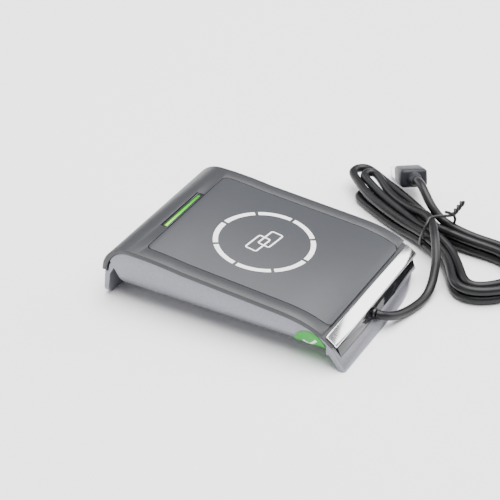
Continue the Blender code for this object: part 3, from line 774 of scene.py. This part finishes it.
class READER_OT_lead(bpy.types.Operator):
    """Make the lead, its collar, the plug and the wire tie"""

    bl_idname = "reader.lead"
    bl_label = "Lead and plug"

    def execute(self, context):
        settings = context.scene.reader_cord
        points = lead_points()
        lead = make_tube("usb_lead", points, settings.diameter, lead_jacket())
        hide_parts("cable_lead", "cable_tail", "cable_hank")
        collar = refine_piece("lead_collar", "cable_collar", tie_plastic(), "cable_collar", 0.2 * MM)
        grip = refine_piece("plug_body", "plug_grip", plug_rubber(), "plug_grip", 0.0)
        relief = refine_piece("plug_neck", "plug_relief", plug_rubber(), "plug_relief", 0.3 * MM)
        shell = refine_piece("plug_metal", "plug_shell", polished_trim(), "plug_shell", 0.1 * MM)
        tongue = refine_piece("plug_insert", "plug_tongue", tie_plastic(), "plug_tongue", 0.1 * MM)
        make_tie()
        return {"FINISHED"}


# ---------------------------------------------------------------- stage


LOOK_AT = Vector((-19.47, 21.47, 0.0)) * MM
# Name, place, point it faces, size and power
SOFTBOXES = (
    ("overhead_softbox", (0.1, 0.15, 1.5), (0.0, 0.0, 0.0), (1.9, 1.5), 84.0),
    ("end_softbox", (0.75, 1.05, 0.7), (0.05, 0.0, 0.0), (1.1, 0.9), 13.0),
    ("left_softbox", (-1.4, 0.1, 0.7), (0.0, 0.0, 0.0), (0.9, 0.7), 8.0),
    ("near_softbox", (-0.5, -1.2, 0.6), (0.0, 0.0, 0.0), (1.2, 0.6), 3.5),
)


def make_light(name, place, aim, size, power):
    data = bpy.data.lights.new(name, "AREA")
    data.shape = "RECTANGLE"
    data.size, data.size_y = size
    data.energy = power
    lamp = bpy.data.objects.new(name, data)
    bpy.context.scene.collection.objects.link(lamp)
    lamp.location = place
    lamp.rotation_euler = (Vector(aim) - Vector(place)).to_track_quat("-Z", "Y").to_euler()


class READER_OT_stage(bpy.types.Operator):
    """Set up the table, the soft lights and the camera"""

    bl_idname = "reader.stage"
    bl_label = "Table, lights and camera"

    def execute(self, context):
        settings = context.scene.reader_stage
        bm = bmesh.new()
        bmesh.ops.create_grid(bm, x_segments=8, y_segments=8, size=3.0)
        mesh = bpy.data.meshes.new("table")
        bm.to_mesh(mesh)
        bm.free()
        surface = finish(
            "pale_table", (0.97, 0.97, 0.98), 0.7, grain=2.0, bump=0.005, mottle=0.004, patch=60.0,
        )
        mesh.materials.append(surface)
        table = bpy.data.objects.new("table", mesh)
        context.scene.collection.objects.link(table)
        for softbox in SOFTBOXES:
            make_light(*softbox)
        world = bpy.data.worlds.new("studio")
        world.use_nodes = True
        background = world.node_tree.nodes["Background"]
        background.inputs["Color"].default_value = (0.97, 0.98, 1.0, 1.0)
        background.inputs["Strength"].default_value = 0.3
        context.scene.world = world
        data = bpy.data.cameras.new("camera")
        data.sensor_width = 36.0
        data.lens = settings.focal_length
        data.clip_start = 0.01
        camera = bpy.data.objects.new("camera", data)
        context.scene.collection.objects.link(camera)
        level = math.cos(settings.elevation)
        away = Vector((
            level * math.sin(settings.azimuth),
            -level * math.cos(settings.azimuth),
            math.sin(settings.elevation),
        ))
        camera.location = LOOK_AT + away * settings.distance
        camera.rotation_euler = (-away).to_track_quat("-Z", "Y").to_euler()
        context.scene.camera = camera
        return {"FINISHED"}


# ---------------------------------------------------------------- panel and run


class READER_PT_panel(bpy.types.Panel):
    bl_label = "Card reader"
    bl_idname = "READER_PT_panel"
    bl_space_type = "VIEW_3D"
    bl_region_type = "UI"
    bl_category = "Card reader"

    def draw(self, context):
        scene = context.scene
        column = self.layout.column()
        housing_steps = ("reader.cover", "reader.base", "reader.light", "reader.sticker", "reader.fittings")
        for group, operators in (
            (scene.reader_housing, housing_steps),
            (scene.reader_print, ("reader.print",)),
            (scene.reader_cord, ("reader.lead",)),
            (scene.reader_stage, ("reader.stage",)),
        ):
            for key in group.__annotations__:
                column.prop(group, key)
            for each in operators:
                column.operator(each)


SETTINGS = (
    ("reader_housing", HousingSettings),
    ("reader_print", PrintSettings),
    ("reader_cord", CordSettings),
    ("reader_stage", StageSettings),
)
OPERATORS = (
    READER_OT_stage,
    READER_OT_lead,
    READER_OT_cover,
    READER_OT_base,
    READER_OT_light,
    READER_OT_print,
    READER_OT_sticker,
    READER_OT_fittings,
)


def register():
    for name, group in SETTINGS:
        bpy.utils.register_class(group)
        setattr(bpy.types.Scene, name, bpy.props.PointerProperty(type=group))
    for each in OPERATORS:
        bpy.utils.register_class(each)
    bpy.utils.register_class(READER_PT_panel)


def unregister():
    bpy.utils.unregister_class(READER_PT_panel)
    for each in reversed(OPERATORS):
        bpy.utils.unregister_class(each)
    for name, group in reversed(SETTINGS):
        delattr(bpy.types.Scene, name)
        bpy.utils.unregister_class(group)


def main():
    register()
    for each in OPERATORS:
        group, name = each.bl_idname.split(".")
        getattr(getattr(bpy.ops, group), name)()


if __name__ == "__main__":
    main()
